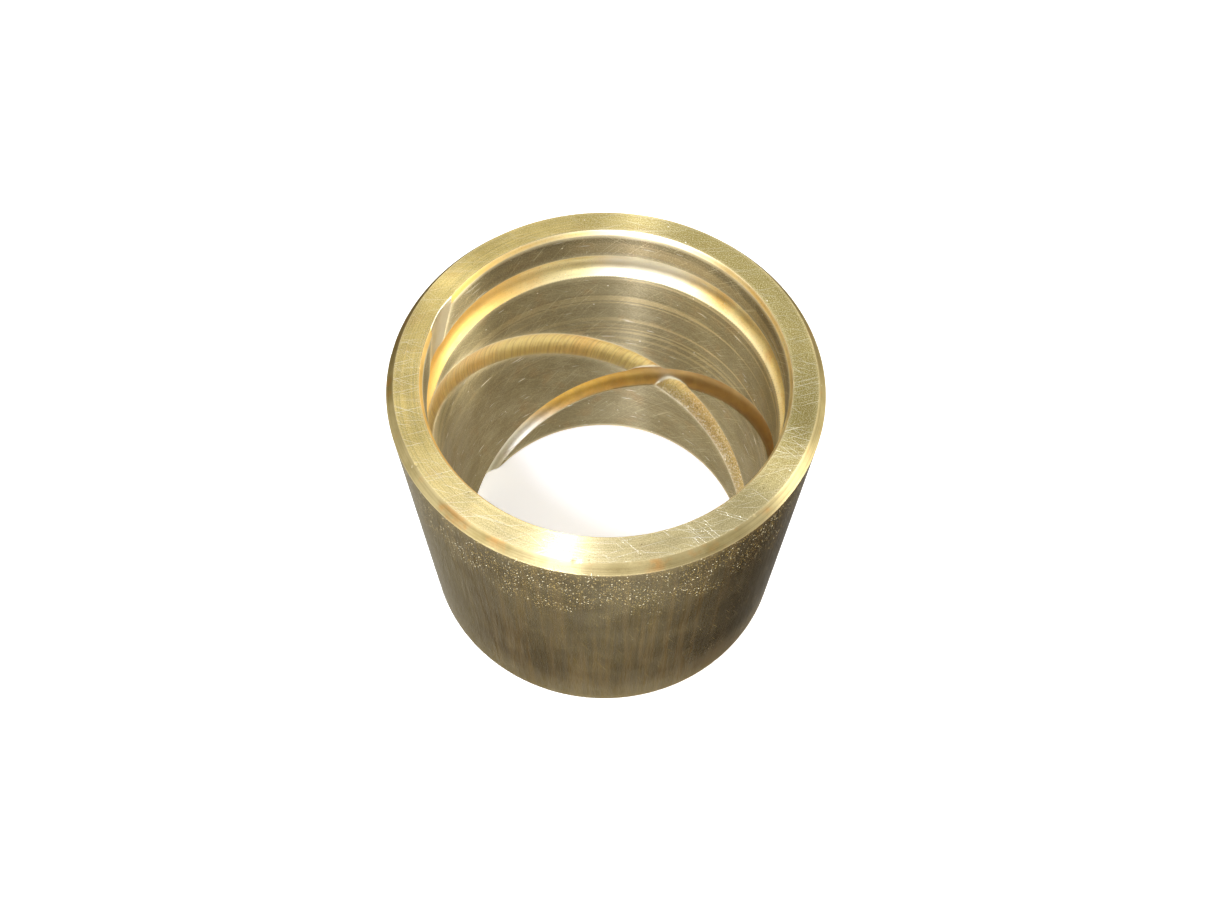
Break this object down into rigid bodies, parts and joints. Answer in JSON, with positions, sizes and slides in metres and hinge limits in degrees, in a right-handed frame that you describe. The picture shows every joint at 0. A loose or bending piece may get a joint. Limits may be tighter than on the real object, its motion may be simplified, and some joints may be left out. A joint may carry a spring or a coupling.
{
  "type": "sleeve bushing",
  "caption": "Plain cylindrical bronze sleeve bushing with an annular grease groove and two crossing helical oil grooves in its bore.",
  "frame": {"origin": "on the bore axis, at the lower end face, the one with the large lead-in chamfer", "axes": "+Z along the bore axis towards the end with the annular grease groove; the crossing of the two helical grooves lies 68 degrees from +X towards +Y"},
  "size_m": [0.06, 0.06, 0.054],
  "materials": {
    "bearing_bronze": "turned, satin"
  },
  "bodies": {
    "root": {"bushing_sleeve": "bearing_bronze"}
  },
  "joints": []
}
